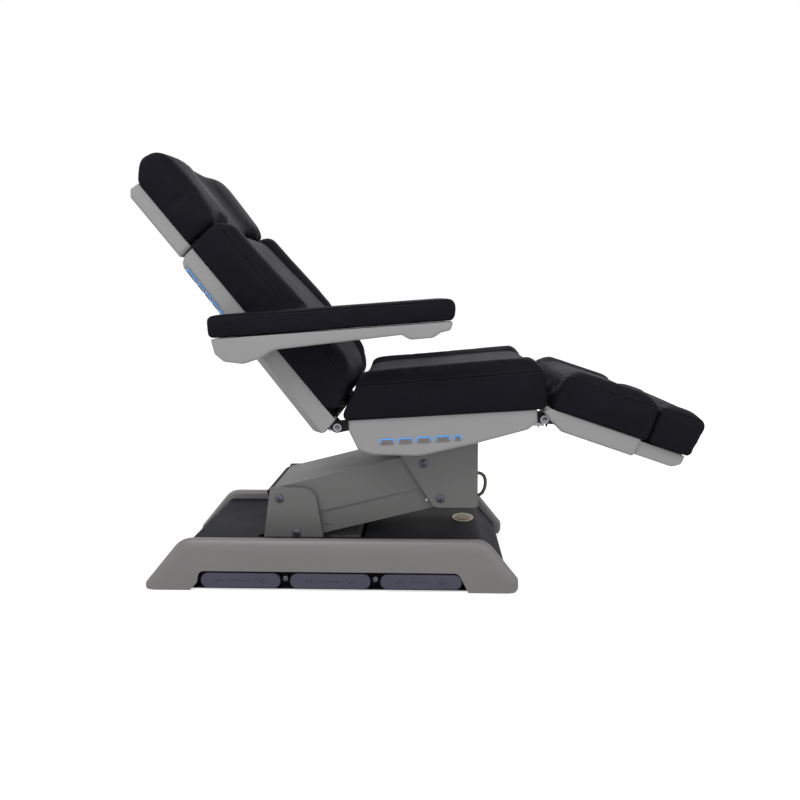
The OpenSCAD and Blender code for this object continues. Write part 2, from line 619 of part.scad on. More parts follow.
// Back section, X along the back towards the seat
function back_local(p) = let (d = p - back_origin)
  [d.x * cos(back_slope) - d.y * sin(back_slope), d.y * cos(back_slope) + d.x * sin(back_slope)];
back_len = 644;
armrest_at = back_local(armrest_pivot);
post_y = 90;
head_pivot = [-648, -38];
module back_frame() color(frame_black) on_back() difference() {
  hinge = back_local(back_pivot);
  eye = back_local(back_eye);
  union() {
    both_sides() {
      channel([-618, back_rail[0], -frame_depth], [-12, back_rail[1], -1]);
      plate([[-80, -frame_depth + 2, 4], [hinge.x + 14, hinge.y - 18, 16],
        [hinge.x + 14, hinge.y + 18, 16], [-80, -6, 4]], back_lug[0], back_lug[1]);
      difference() {
        block([-600, post_y - 17, -54], [-430, post_y + 17, -22]);
        rod_x(-640, -420, post_y, head_pivot.y, 9 + run_gap);
      }
    }
    for (x = [-600, -470, armrest_at.x - 20, -62])
      channel([x, -back_rail[0] - 1, -28], [x + 40, back_rail[0] + 1, -1]);
    for (y = [-18, 12]) plate([[-58, -20, 4], [eye.x - 16, eye.y - 2, 4], [eye.x - 2, eye.y - 15, 10],
      [eye.x + 15, eye.y + 4, 10], [-22, -6, 4]], back_act_y + y, back_act_y + y + 6);
    rod_y(eye, 7, back_act_y - 18, back_act_y + 18);
  }
  both_sides() rod_y(hinge, hinge_pin_r + run_gap, 205, 225);
}
module back_shell() color(plastic_grey) on_back() difference() {
  section = [[-635, -1, 2], [-631, -58, 8], [-617, -66, 12], [0, -82, 20], [20, -50, 16], [10, -1, 3]];
  loft(shell_rings(section, half_shell, [[0, 26, 3], [4, 22, 0], [33, 1.5, 0], [37, 0, 0]]));
  plate(moved(section, 4, 1, -6), -half_shell + 38, half_shell - 38);
  both_sides() {
    block([-624, half_shell - 39, -30], [2, half_shell - 6, 6]);
    rod_y(armrest_at, 15, half_shell - 50, 300);
    block([-4, back_lug[0] - 4, -70], [40, seat_lug[1] + 4, 2]);
    rod_x(-650, -610, post_y, head_pivot.y, 12);
  }
  block([-30, back_act_y - 24, -100], [30, back_act_y + 24, -40]);
}
module armrest_hubs() color(frame_black) on_back() both_sides() {
  rod_y(armrest_at, 14, back_rail[1] + 0.1, 287);
  rod_y(armrest_at, 26, 287, half_couch + 11);
  rod_y(armrest_at, 10, half_couch + 11, half_couch + 52);
}
module back_keypads() color(key_blue) on_back() both_sides() {
  row = key_row(-602, [44, 26, 26, 26, 14], 7);
  slant = atan(20.5 / 29);
  fall = atan(16 / 617);
  start = [row[0][0], -half_shell + 18.5, -54.6];
  for (k = row) translate(start) rotate([0, fall, 0]) rotate([-slant, 0, 0])
    translate([k[0] - row[0][0], -5, -2.4]) linear_extrude(2.1)
      polygon(plain([[0, 0, 4], [k[1], 0, 4], [k[1], 20, 4], [0, 20, 4]]));
}
// How far the middle of the back sinks below its rolls at the head end
back_dip = 20;
module back_cushion() color(pad_black) on_back() {
  line = outline([[-back_len, 0, 12, 0], [-30, 0, 30, 0], [-8, 28, 14, 0], [-40, pad_thickness - 8, 24, 0],
    [-170, pad_thickness, 60, 8], [-back_len, pad_thickness, 14, 0]], 4);
  hollow = function(x, y) back_dip * max(0, -300 - x) / (back_len - 300) * ease((235 - y) / 40);
  crown = function(x, y) (26 + 14 * ease((x + 600) / 300)) * across(y)
    * ease((x + back_len + 20) / 60) * ease((-10 - x) / 120) - hollow(x, y);
  loft_pad(pad_rings(line, half_couch, 14, pad_stations(half_couch, 14, pad_inner), crown), -2);
}

// Headrest, in the back's frame
head_end = -892;
head_start = -647;
module headrest_posts() color(steel) on_back() {
  both_sides() rod_x(-648, -440, post_y, head_pivot.y, 9);
  rod_y(head_pivot, 7, -post_y, post_y);
}
module headrest_frame() color(frame_black) on_back() difference() {
  union() {
    block([-840, -180, -12], [-690, 180, -1]);
    both_sides() {
      block([-700, 30, -36], [-655, 60, -2]);
      rod_y(head_pivot, 11, 30, 60);
    }
  }
  rod_y(head_pivot, 7 + run_gap, -100, 100);
}
module headrest_shell() color(plastic_grey) on_back() difference() {
  section = [[-870, -1, 2], [-874, -30, 12], [-856, -46, 12], [-638, -47, 4], [-641, -1, 2]];
  loft(shell_rings(section, half_shell, soft_edge));
  plate(moved(section, 4, 1, -6), -half_shell + 8, half_shell - 8);
  block([-670, -125, -60], [-620, 125, 5]);
}
// Share of the headrest's crown at each distance from the middle: a trough between two rims
function head_across(y) = lookup(y, [[0, -1.7], [60, -1.55], [95, -0.9], [125, 0.1], [160, 0.75],
  [200, 0.85], [245, 0.5], [286, -0.05], [300, -0.35]]);
head_inner = [-250, -205, -160, -125, -95, -60, 0, 60, 95, 125, 160, 205, 250];
module headrest_cushion() color(pad_black) on_back() {
  line = outline([[head_end + 22, 0, 10, 0], [head_start, 0, 12, 0], [head_start, pad_thickness, 18, 7],
    [head_end - 4, pad_thickness + 8, 38, 1], [head_end - 22, 48, 38, 0]], 4);
  crown = function(x, y) 13 * head_across(y) * ease((x - head_end + 20) / 80)
    * ease((head_start + 80 - x) / 100);
  loft_pad(pad_rings(line, half_couch, 16, pad_stations(half_couch, 16, head_inner), crown), -2);
}

// Armrests, drawn level with their pivot at the origin
armrest_in = half_couch + 12;
armrest_out = armrest_in + armrest_width;
module armrest_shell() place(armrest_pivot, armrest_slope) difference() {
  section = [[-89, 20, 4], [-82, -22, 12], [-58, -45, 16], [-4, -55, 40], [46, -42, 20], [84, -22, 40],
    [440, -6, 10], [462, -21, 26], [526, -20, 24], [548, -7, 10], [574, -3, 12], [583, 20, 4]];
  spine = [[-40, -12], [0, -16], [50, -10], [110, 0], [200, 3], [300, 5], [400, 7], [470, 8], [540, 9.5]];
  translate([0, -(armrest_in + armrest_out) / 2, 0])
    loft_spine(shell_rings(section, armrest_width / 2 - 2, [[0, 6], [2, 2], [6, 0]], 3), spine, 0.25);
  rod_y([0, 0], 10 + run_gap, -armrest_in - 41, -armrest_in + 1);
}
module armrest_pad() place(armrest_pivot, armrest_slope) {
  line = outline([[-95, 22, 8, 2], [585, 23, 10, 1], [594, 79, 18, 6], [-95, 80, 14, 1]], 3);
  crown = function(x, y) 3;
  middle = (armrest_in + armrest_out) / 2;
  rings = pad_rings(line, armrest_width / 2, 10, pad_stations(armrest_width / 2, 10, [0]), crown);
  translate([0, -middle, 0]) loft_pad(rings, 0);
}
module right_armrest_shell() color(plastic_grey) armrest_shell();
module left_armrest_shell() color(plastic_grey) mirror([0, 1, 0]) armrest_shell();
module right_armrest_pad() color(pad_black) armrest_pad();
module left_armrest_pad() color(pad_black) mirror([0, 1, 0]) armrest_pad();

// Leg section and the foot section that slides out of it
function leg_local(p) = let (d = p - leg_origin)
  [d.x * cos(leg_slope) - d.y * sin(leg_slope), d.y * cos(leg_slope) + d.x * sin(leg_slope)];
slide_y = 150;
slide_z = -28;
module leg_frame() color(frame_black) on_leg() difference() {
  hinge = leg_local(leg_pivot);
  slot = leg_local([leg_rod_x, leg_rod_z]);
  away = unit(slot - hinge);
  union() {
    both_sides() {
      channel([34, back_rail[0], -40], [272, back_rail[1], -1]);
      plate([[hinge.x - 14, hinge.y - 18, 16], [90, -38, 4], [90, -6, 4],
        [hinge.x - 14, hinge.y + 18, 16]], back_lug[0], back_lug[1]);
    }
    block([24, -back_rail[0], -14], [60, back_rail[0], -1]);
    for (x = [165, 245]) block([x, -back_rail[0], -42], [x + 20, back_rail[0], -1]);
    plate([[26, -8, 2], [slot.x - 22, slot.y + 6, 8], [slot.x - 4, slot.y - 18, 10],
      [slot.x + 20, slot.y - 16, 10], [slot.x + 24, slot.y + 12, 10], [58, -8, 2]],
      leg_act_y - 4, leg_act_y + 4);
  }
  both_sides() {
    rod_y(hinge, hinge_pin_r + run_gap, 205, 240);
    rod_x(150, 280, slide_y, slide_z, 10 + run_gap);
  }
  hull() {
    rod_y(slot - away * 4, 10.5, leg_act_y - 10, leg_act_y + 10);
    rod_y(slot + away * 15, 10.5, leg_act_y - 10, leg_act_y + 10);
  }
}
module leg_shell() color(plastic_grey) on_leg() difference() {
  section = [[2, -1, 2], [-18, -14, 6], [16, -35, 14], [56, -56, 24], [278, -56, 6], [284, -1, 2]];
  loft(shell_rings(section, half_shell, soft_edge));
  plate(moved(section, 3, 1, -6), -half_shell + 7, half_shell - 7);
  plate([[200, -53, 1], [300, -53, 1], [300, 5, 1], [200, 5, 1]], -half_shell + 7, half_shell - 7);
  block([-30, leg_act_y - 28, -80], [96, leg_act_y + 28, -2]);
  both_sides() block([-30, back_lug[0] - 5, -70], [60, seat_lug[1] + 9, 2]);
}
leg_start = 6;
leg_end = 297;
short_inner = [-255, -200, -100, 0, 100, 200, 255];
module leg_cushion() color(pad_black) on_leg() {
  line = outline([[leg_start, 0, 12, 0], [leg_end, -1, 12, 0], [leg_end + 1, pad_thickness, 16, 7],
    [leg_start, pad_thickness - 2, 18, 0]], 4);
  crown = function(x, y) 21 * across(y) * ease((x - leg_start + 15) / 60) * ease((leg_end + 60 - x) / 120);
  loft_pad(pad_rings(line, half_couch, 14, pad_stations(half_couch, 14, short_inner), crown), -2);
}
foot_start = 300.5;
foot_end = 437;
module foot_frame() color(frame_black) on_leg() {
  both_sides() rod_x(45, 400, slide_y, slide_z, 10);
  block([300, -200, slide_z + 7], [410, 200, -7]);
}
module foot_shell() color(plastic_grey) on_leg() difference() {
  half = half_shell - 11;
  section = [[178, -7, 2], [178, -50, 4], [398, -50, 14], [421, -36, 12], [421, -7, 2]];
  loft(shell_rings(section, half, [[0, 6, 0], [2, 2, 0], [6, 0, 0]], 3));
  plate([[170, -47, 1], [397, -47, 12], [417, -34, 10], [417, 5, 1], [170, 5, 1]], -half + 6, half - 6);
}
module foot_cushion() color(pad_black) on_leg() {
  line = outline([[foot_start, 0, 12, 0], [foot_start + 26, -4, 10, 0], [foot_end - 6, -4, 14, 0],
    [foot_end + 2, pad_thickness + 4, 18, 5], [foot_start, pad_thickness + 3, 14, 0]], 3);
  crown = function(x, y) 10 * across(y) * ease((x - foot_start + 15) / 40) * ease((foot_end + 20 - x) / 60);
  loft_pad(pad_rings(line, half_couch, 14, pad_stations(half_couch, 14, short_inner), crown), -2);
}

base_frame();
deck_panel();
right_skirt();
left_skirt();
levelling_feet();
pedal_trays();
pedal_bosses();
lower_bracket();
control_box();
power_inlet();
lower_pivot_shafts();
badge_plate();
for (k = [0:2]) {
  pedal(k);
  mirror([0, 1, 0]) pedal(k);
}
upper_arm();
upper_arm_cover();
upper_cover_strip();
lower_arm();
lower_arm_cover();
lower_cover_screws();
lift_actuator();
lift_actuator_rod();
upper_bracket();
upper_pivot_shafts();
cable_loop();
cable_grommets();
tilt_actuator();
tilt_actuator_rod();
seat_frame();
seat_shell();
seat_cushion();
seat_keypads();
hinge_pins();
back_actuator();
back_actuator_rod();
leg_actuator();
leg_actuator_rod();
back_frame();
back_shell();
back_cushion();
back_keypads();
armrest_hubs();
headrest_posts();
headrest_frame();
headrest_shell();
headrest_cushion();
right_armrest_shell();
right_armrest_pad();
left_armrest_shell();
left_armrest_pad();
leg_frame();
leg_shell();
leg_cushion();
foot_frame();
foot_shell();
foot_cushion();
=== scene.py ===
"""Powered procedure table: padding, trim, materials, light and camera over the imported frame."""
import json
import math

import bpy
import numpy as np
from mathutils import Matrix, Vector
from mathutils.bvhtree import BVHTree


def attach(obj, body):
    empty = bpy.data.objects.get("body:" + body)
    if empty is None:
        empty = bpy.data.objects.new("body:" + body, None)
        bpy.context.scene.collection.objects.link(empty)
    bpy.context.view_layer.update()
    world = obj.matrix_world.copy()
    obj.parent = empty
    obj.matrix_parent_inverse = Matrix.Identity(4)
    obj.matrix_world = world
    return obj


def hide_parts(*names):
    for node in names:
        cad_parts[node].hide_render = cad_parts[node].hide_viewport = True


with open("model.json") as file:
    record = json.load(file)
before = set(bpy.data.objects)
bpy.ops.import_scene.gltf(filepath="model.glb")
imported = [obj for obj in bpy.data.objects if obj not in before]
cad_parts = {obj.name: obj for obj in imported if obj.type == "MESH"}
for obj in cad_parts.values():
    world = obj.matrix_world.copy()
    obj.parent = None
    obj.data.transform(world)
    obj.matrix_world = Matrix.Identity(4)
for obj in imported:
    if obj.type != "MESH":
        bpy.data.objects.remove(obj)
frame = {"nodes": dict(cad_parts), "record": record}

NODES = frame["nodes"]
SCENE = bpy.context.scene
SCENE.view_settings.view_transform = "Standard"
MM = 0.001

# Cushions: thickness, half width and channel offset in millimetres, mesh pitch in metres, cloth steps
PAD = 104.0
HALF = 300.0
CHANNEL = 205
VOXEL = 0.007
CLOTH_STEPS = 20
# Gap in metres between a seam and the threads on each side of it
STITCH_OFFSET = 0.0045
# Lift arms' slope in degrees, x and z of their rear and front pivots and of the hinge pins, and the
# pedals' start and pitch, in millimetres
ARM_SLOPE = 14
REAR_PIVOTS = ((-436, 257), (-384, 144))
FRONT_PIVOTS = ((25.9, 372.2), (77.9, 259.2))
HINGES = ((-236, 499), (388, 524))
PEDAL_START, PEDAL_PITCH = -660, 277
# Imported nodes: weld distance and bevel width in metres, and the turns in degrees beyond which an edge of
# a moulded part stays a crease and an edge of any other part is bevelled
WELD_GAP, EDGE_WIDTH = 0.00002, 0.0012
CREASE_TURN, BEVEL_TURN = 38, 40

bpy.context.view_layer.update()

# Camera at the photograph's viewing angle
EYE = Vector((0.048, -2.291, 0.887))
YAW, PITCH, ROLL = math.radians(2.58), math.radians(8.37), math.radians(0.44)
FOCAL_PIXELS, FRAME_PIXELS, SENSOR = 693.0, 800.0, 36.0


def make_camera():
    level = math.cos(PITCH)
    forward = Vector((-math.sin(YAW) * level, math.cos(YAW) * level, -math.sin(PITCH)))
    right = Vector((math.cos(YAW), math.sin(YAW), 0))
    down = forward.cross(right)
    across = math.cos(ROLL) * right + math.sin(ROLL) * down
    below = -math.sin(ROLL) * right + math.cos(ROLL) * down
    data = bpy.data.cameras.new("camera")
    data.sensor_width = SENSOR
    data.lens = FOCAL_PIXELS / FRAME_PIXELS * SENSOR
    data.clip_end = 60
    camera = bpy.data.objects.new("camera", data)
    SCENE.collection.objects.link(camera)
    turn = Matrix((across, -below, -forward)).transposed().to_4x4()
    camera.matrix_world = Matrix.Translation(EYE) @ turn
    SCENE.camera = camera


# Materials
def new_material(name):
    material = bpy.data.materials.new(name)
    material.use_nodes = True
    return material, material.node_tree, material.node_tree.nodes["Principled BSDF"]


def node(tree, kind, links=(), **values):
    made = tree.nodes.new(kind)
    for key, value in values.items():
        if key in made.inputs:
            made.inputs[key].default_value = value
        else:
            setattr(made, key, value)
    for socket, source in links:
        tree.links.new(source, made.inputs[socket])
    return made


def shade(colour, factor):
    return tuple(min(1.0, c * factor) for c in colour) + (1.0,)


def surface(name, colour, rough, metallic=0.0, grain=(900, 0.00004), blotch=0.05, rough_spread=0.05,
            specular=0.5, cells=None, waves=None):
    """Surface with a slow drift in colour and roughness, fine grain, and optional leather cells and waves.

    grain, cells and waves each give a texture scale and a bump height in metres.
    """
    material, tree, shader = new_material(name)
    place = node(tree, "ShaderNodeTexCoord").outputs["Object"]
    drift = node(tree, "ShaderNodeTexNoise", [("Vector", place)], Scale=7.0, Detail=4.0)
    fine = node(tree, "ShaderNodeTexNoise", [("Vector", place)], Scale=float(grain[0]), Detail=3.0)
    ramp = node(tree, "ShaderNodeValToRGB", [("Fac", drift.outputs["Fac"])])
    ramp.color_ramp.elements[0].position, ramp.color_ramp.elements[1].position = 0.3, 0.7
    ramp.color_ramp.elements[0].color = shade(colour, 1 - blotch)
    ramp.color_ramp.elements[1].color = shade(colour, 1 + blotch)
    tree.links.new(ramp.outputs["Color"], shader.inputs["Base Color"])
    spread = node(tree, "ShaderNodeMapRange", [("Value", drift.outputs["Fac"])])
    spread.inputs["From Min"].default_value, spread.inputs["From Max"].default_value = 0.3, 0.7
    spread.inputs["To Min"].default_value = max(0.0, rough - rough_spread)
    spread.inputs["To Max"].default_value = min(1.0, rough + rough_spread)
    tree.links.new(spread.outputs["Result"], shader.inputs["Roughness"])
    bump = node(tree, "ShaderNodeBump", [("Height", fine.outputs["Fac"])], Distance=grain[1], Strength=0.6)
    if cells:
        leather = node(tree, "ShaderNodeTexVoronoi", [("Vector", place)], Scale=float(cells[0]),
                       feature="SMOOTH_F1")
        heights = [("Height", leather.outputs["Distance"]), ("Normal", bump.outputs["Normal"])]
        bump = node(tree, "ShaderNodeBump", heights, Distance=cells[1], Strength=0.7)
    if waves:
        slow = node(tree, "ShaderNodeTexNoise", [("Vector", place)], Scale=float(waves[0]), Detail=2.0)
        heights = [("Height", slow.outputs["Fac"]), ("Normal", bump.outputs["Normal"])]
        bump = node(tree, "ShaderNodeBump", heights, Distance=waves[1], Strength=0.5)
    tree.links.new(bump.outputs["Normal"], shader.inputs["Normal"])
    shader.inputs["Metallic"].default_value = metallic
    shader.inputs["Specular IOR Level"].default_value = specular
    return material


def glow(name, colour, strength):
    """Lit rim of a touch key, a little uneven along its length."""
    material, tree, shader = new_material(name)
    place = node(tree, "ShaderNodeTexCoord").outputs["Object"]
    uneven = node(tree, "ShaderNodeTexNoise", [("Vector", place)], Scale=60.0, Detail=2.0)
    ramp = node(tree, "ShaderNodeValToRGB", [("Fac", uneven.outputs["Fac"])])
    ramp.color_ramp.elements[0].color = shade(colour, 0.75)
    ramp.color_ramp.elements[1].color = shade(colour, 1.15)
    tree.links.new(ramp.outputs["Color"], shader.inputs["Base Color"])
    tree.links.new(ramp.outputs["Color"], shader.inputs["Emission Color"])
    shader.inputs["Emission Strength"].default_value = strength
    shader.inputs["Roughness"].default_value = 0.3
    return material


# Colour, roughness and the other values of each painted, plated or covered surface
PAINT = {name: surface(name, colour, rough, **more) for name, colour, rough, more in (
    ("shell_grey", (0.305, 0.303, 0.305), 0.42,
     dict(grain=(1500, 0.00003), blotch=0.02, waves=(9, 0.0003), specular=0.35)),
    ("skirt_grey", (0.205, 0.197, 0.195), 0.38,
     dict(grain=(1300, 0.00003), blotch=0.025, waves=(6, 0.0003), specular=0.4)),
    ("metal_grey", (0.165, 0.165, 0.163), 0.48, dict(grain=(700, 0.00005), blotch=0.03, specular=0.3)),
    ("frame_black", (0.014, 0.014, 0.016), 0.55, dict(grain=(800, 0.00008), blotch=0.15, specular=0.25)),
    ("deck_black", (0.0105, 0.011, 0.016), 0.55, dict(grain=(600, 0.00008), blotch=0.12, specular=0.06)),
    ("pedal_blue", (0.068, 0.07, 0.10), 0.5, dict(grain=(900, 0.00006), blotch=0.06, specular=0.3)),
    ("bolt_blue", (0.085, 0.087, 0.12), 0.35, dict(metallic=0.3, grain=(600, 0.00003), blotch=0.08)),
    ("steel", (0.42, 0.42, 0.46), 0.3, dict(metallic=0.85, grain=(400, 0.00002), blotch=0.06)),
    ("badge_rim", (0.34, 0.32, 0.24), 0.35, dict(metallic=0.4, grain=(500, 0.00002), blotch=0.08)),
    ("badge_gold", (0.15, 0.105, 0.028), 0.4, dict(metallic=0.6, grain=(300, 0.00004), blotch=0.35)),
    ("cable_olive", (0.075, 0.08, 0.055), 0.5, dict(grain=(900, 0.00006), blotch=0.1)),
    ("upholstery", (0.0085, 0.0085, 0.0122), 0.62,
     dict(grain=(1800, 0.00004), blotch=0.10, cells=(620, 0.00014), waves=(22, 0.0014), specular=0.045)),
    ("seam_leather", (0.004, 0.004, 0.0065), 0.6, dict(grain=(1500, 0.00005), blotch=0.1, specular=0.06)),
    ("thread", (0.022, 0.022, 0.028), 0.7, dict(grain=(2500, 0.0001), blotch=0.1, specular=0.2)),
    ("key_cap", (0.175, 0.155, 0.14), 0.4, dict(grain=(1500, 0.00002), blotch=0.03)),
    ("ink", (0.02, 0.02, 0.026), 0.6, dict(grain=(1500, 0.00002), blotch=0.08)),
    # Near-black of the bolts' hex sockets: painted shade of their recesses
    ("socket_shade_black", (0.006, 0.006, 0.007), 0.8, dict(grain=(900, 0.00005), blotch=0.1)),
)}
PAINT["key_light"] = glow("key_light", (0.0, 0.30, 0.95), 1.0)
# Nodes whose finish isn't the one of their slot
FINISH = {"lower_pivot_shafts": "bolt_blue", "upper_pivot_shafts": "bolt_blue", "pedal_bosses": "bolt_blue",
          "seat_keypads": "key_cap", "back_keypads": "key_cap", "badge_plate": "badge_rim",
          "hinge_pins": "steel", "lower_cover_screws": "steel"}


# Geometry helpers
def unit(v):
    return v / np.linalg.norm(v)


def ease(t):
    t = np.clip(t, 0, 1)
    return t * t * (3 - 2 * t)


def placement(x, z, slope):
    """Frame of a section: X along it, Z up from its underside, origin in millimetres."""
    a = math.radians(slope)
    turn = Matrix(((math.cos(a), 0, -math.sin(a)), (0, 1, 0), (math.sin(a), 0, math.cos(a)))).to_4x4()
    return Matrix.Translation(Vector((x * MM, 0, z * MM))) @ turn


SEAT = placement(-189, 531, 3.3)
BACK = placement(-239.5, 539.9, -51.2)
LEG = placement(394, 567, -19.1)
ARM = placement(-471, 764, 3.8)


def add_object(name, points, faces, material, body, smooth=True):
    """Mesh object from points in metres in the row frame, riding on its body."""
    mesh = bpy.data.meshes.new(name)
    mesh.from_pydata([tuple(p) for p in points], [], faces)
    mesh.validate()
    mesh.materials.append(PAINT[material])
    mesh.polygons.foreach_set("use_smooth", [smooth] * len(mesh.polygons))
    made = bpy.data.objects.new(name, mesh)
    SCENE.collection.objects.link(made)
    if body:
        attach(made, body)
    return made


def to_row(points, section):
    """Points in millimetres in a section's frame, as metres in the row frame."""
    m = np.array(section)
    return np.asarray(points, float) * MM @ m[:3, :3].T + m[:3, 3]


def outline(corners, steps=8, spacing=14.0):
    """Rounded anticlockwise outline with its outward normals, as rows of x, z, nx, nz."""
    arcs = []
    count = len(corners)
    for i in range(count):
        a, b, c = (np.array(corners[(i + k) % count][:2], float) for k in (-1, 0, 1))
        r = corners[i][2]
        u, v = unit(b - a), unit(c - b)
        turn = math.atan2(u[0] * v[1] - u[1] * v[0], u @ v)
        s = math.copysign(1, turn)
        start = b - u * r * abs(math.tan(turn / 2))
        first = np.array((u[1], -u[0]))
        centre = start - s * r * first
        a0 = math.atan2(first[1], first[0])
        arc = []
        for k in range(steps + 1):
            m = np.array((math.cos(a0 + turn * k / steps), math.sin(a0 + turn * k / steps)))
            arc.append(np.concatenate((centre + s * r * m, m)))
        arcs.append(arc)
    rows = []
    for i, arc in enumerate(arcs):
        rows += arc
        p, q = arc[-1], arcs[(i + 1) % count][0]
        extra = int(np.linalg.norm(q[:2] - p[:2]) // spacing)
        rows += [p + (q - p) * k / (extra + 1) for k in range(1, extra + 1)]
    return np.array(rows)


def pad_form(corners, half, edge, crown):
    """Points and faces of a crowned pad, in millimetres in its section's frame.

    corners is its side view as x, z and radius, half its half width, edge the radius of its side edges and
    crown(x, distance from the middle) the height that is added to its top.
    """
    line = outline(corners)
    middle = np.linspace(-half + edge, half - edge, int((2 * half) // 12))
    turns = np.linspace(0, math.pi / 2, 6)
    stations = [(-half + edge * (1 - math.cos(t)), edge * 0.8 * (1 - math.sin(t))) for t in turns[:-1]]
    stations += [(y, 0.0) for y in middle]
    stations += [(-y, inset) for y, inset in reversed(stations[:5])]
    points = []
    for y, inset in stations:
        x, z = line[:, 0] - line[:, 2] * inset, line[:, 1] - line[:, 3] * inset
        z = z + np.clip(line[:, 3], 0, None) * crown(x, abs(y))
        points.append(np.stack((x, np.full_like(x, y), z), 1))
    m, n = len(line), len(stations)
    faces = []
    for i in range(n - 1):
        for j in range(m):
            k = (j + 1) % m
            faces.append((i * m + j, i * m + k, (i + 1) * m + k, (i + 1) * m + j))
    points = np.concatenate(points)
    ends = [points[ring * m:(ring + 1) * m].mean(0) for ring in (0, n - 1)]
    points = np.concatenate((points, ends))
    for j in range(m):
        k = (j + 1) % m
        faces.append((n * m, k, j))
        faces.append((n * m + 1, (n - 1) * m + j, (n - 1) * m + k))
    return points, faces


def evaluated(made):
    """Replaces an object's mesh by the one that its modifiers give."""
    graph = bpy.context.evaluated_depsgraph_get()
    mesh = bpy.data.meshes.new_from_object(made.evaluated_get(graph))
    old = made.data
    made.modifiers.clear()
    made.data = mesh
    bpy.data.meshes.remove(old)


def vertices(made):
    co = np.zeros(len(made.data.vertices) * 3)
    made.data.vertices.foreach_get("co", co)
    return co.reshape(-1, 3)


def inflate(made, section, floor, cap):
    """Lets cover cloth swell under pressure, held along the underside, and limits how far it moves."""
    start = vertices(made)
    inverse = np.array(section.inverted())
    height = (start @ inverse[:3, :3].T + inverse[:3, 3])[:, 2] / MM
    held = made.vertex_groups.new(name="held")
    held.add([int(i) for i in np.nonzero(height < floor + 5)[0]], 1.0, "REPLACE")
    cloth = made.modifiers.new("cover", "CLOTH")
    rules = cloth.settings
    rules.quality = 4
    rules.mass = 0.3
    rules.tension_stiffness = rules.compression_stiffness = 15
    rules.shear_stiffness = 6
    rules.bending_stiffness = 1.5
    rules.use_pressure = True
    rules.uniform_pressure_force = 4
    rules.effector_weights.gravity = 0
    rules.vertex_group_mass = "held"
    rules.shrink_min = -0.012
    cloth.collision_settings.use_collision = False
    cloth.point_cache.frame_start, cloth.point_cache.frame_end = 1, CLOTH_STEPS
    for step in range(1, CLOTH_STEPS + 1):
        SCENE.frame_set(step)
    evaluated(made)
    SCENE.frame_set(1)
    moved = vertices(made) - start
    length = np.linalg.norm(moved, axis=1, keepdims=True)
    limit = cap * MM
    new = start + moved * (limit * np.tanh(length / limit) / np.maximum(length, 1e-9))
    made.data.vertices.foreach_set("co", new.ravel())
    made.data.update()


def on_skin(tree, points, lift):
    """Points moved onto a skin's nearest place and lifted by that many metres, with the normals there."""
    out, normals = [], []
    for p in points:
        place, normal, _, _ = tree.find_nearest(Vector(p))
        out.append(place + normal * lift)
        normals.append(normal)
    return out, normals


def tube(points, radius, sides=6):
    """Points and faces of a tube with closed ends along a path."""
    path = [Vector(p) for p in points]
    n = len(path)
    rows, faces = [], []
    guide = None
    for i, p in enumerate(path):
        ahead = path[min(i + 1, n - 1)]
        behind = path[max(i - 1, 0)]
        way = (ahead - behind).normalized()
        if guide is None:
            guide = way.orthogonal()
        guide = (guide - way * guide.dot(way)).normalized()
        other = way.cross(guide)
        for k in range(sides):
            a = 2 * math.pi * k / sides
            rows.append(p + (guide * math.cos(a) + other * math.sin(a)) * radius)
    for i in range(n - 1):
        for k in range(sides):
            a, b = i * sides + k, i * sides + (k + 1) % sides
            faces.append((a, b, b + sides, a + sides))
    faces.append(tuple(reversed(range(sides))))
    faces.append(tuple((n - 1) * sides + k for k in range(sides)))
    return rows, faces


def resampled(points, pitch):
    """Path points at an even pitch in metres."""
    p = np.array([tuple(q) for q in points])
    d = np.concatenate(([0], np.cumsum(np.linalg.norm(np.diff(p, axis=0), axis=1))))
    at = np.linspace(0, d[-1], max(2, int(d[-1] / pitch)))
    return np.stack([np.interp(at, d, p[:, k]) for k in range(3)], 1)


def stitch_rows(tree, path, offsets, pitch=0.0062, length=0.0042, radius=0.00045):
    """Rows of short threads beside a seam, one at each offset, sizes in metres."""
    rows, faces = [], []
    even = resampled(path, pitch)
    _, normals = on_skin(tree, even, 0)
    for offset in offsets:
        for i in range(1, len(even) - 1):
            way = Vector(even[i + 1] - even[i - 1]).normalized()
            side = normals[i].cross(way).normalized()
            place, normal, _, _ = tree.find_nearest(Vector(even[i]) + side * offset)
            a, b = place - way * length / 2, place + way * length / 2
            mid = place + normal * radius * 1.6
            base = len(rows)
            ring = [side * radius, normal * radius, side * -radius]
            for centre in (a, mid, b):
                rows += [centre + q for q in ring]
            for k in (0, 1):
                s = base + k * 3
                faces += [(s, s + 1, s + 4, s + 3), (s + 1, s + 2, s + 5, s + 4)]
    return rows, faces


def joined(parts):
    """One form from several."""
    rows, faces = [], []
    for r, f in parts:
        base = len(rows)
        rows += list(r)
        faces += [tuple(base + i for i in face) for face in f]
    return rows, faces


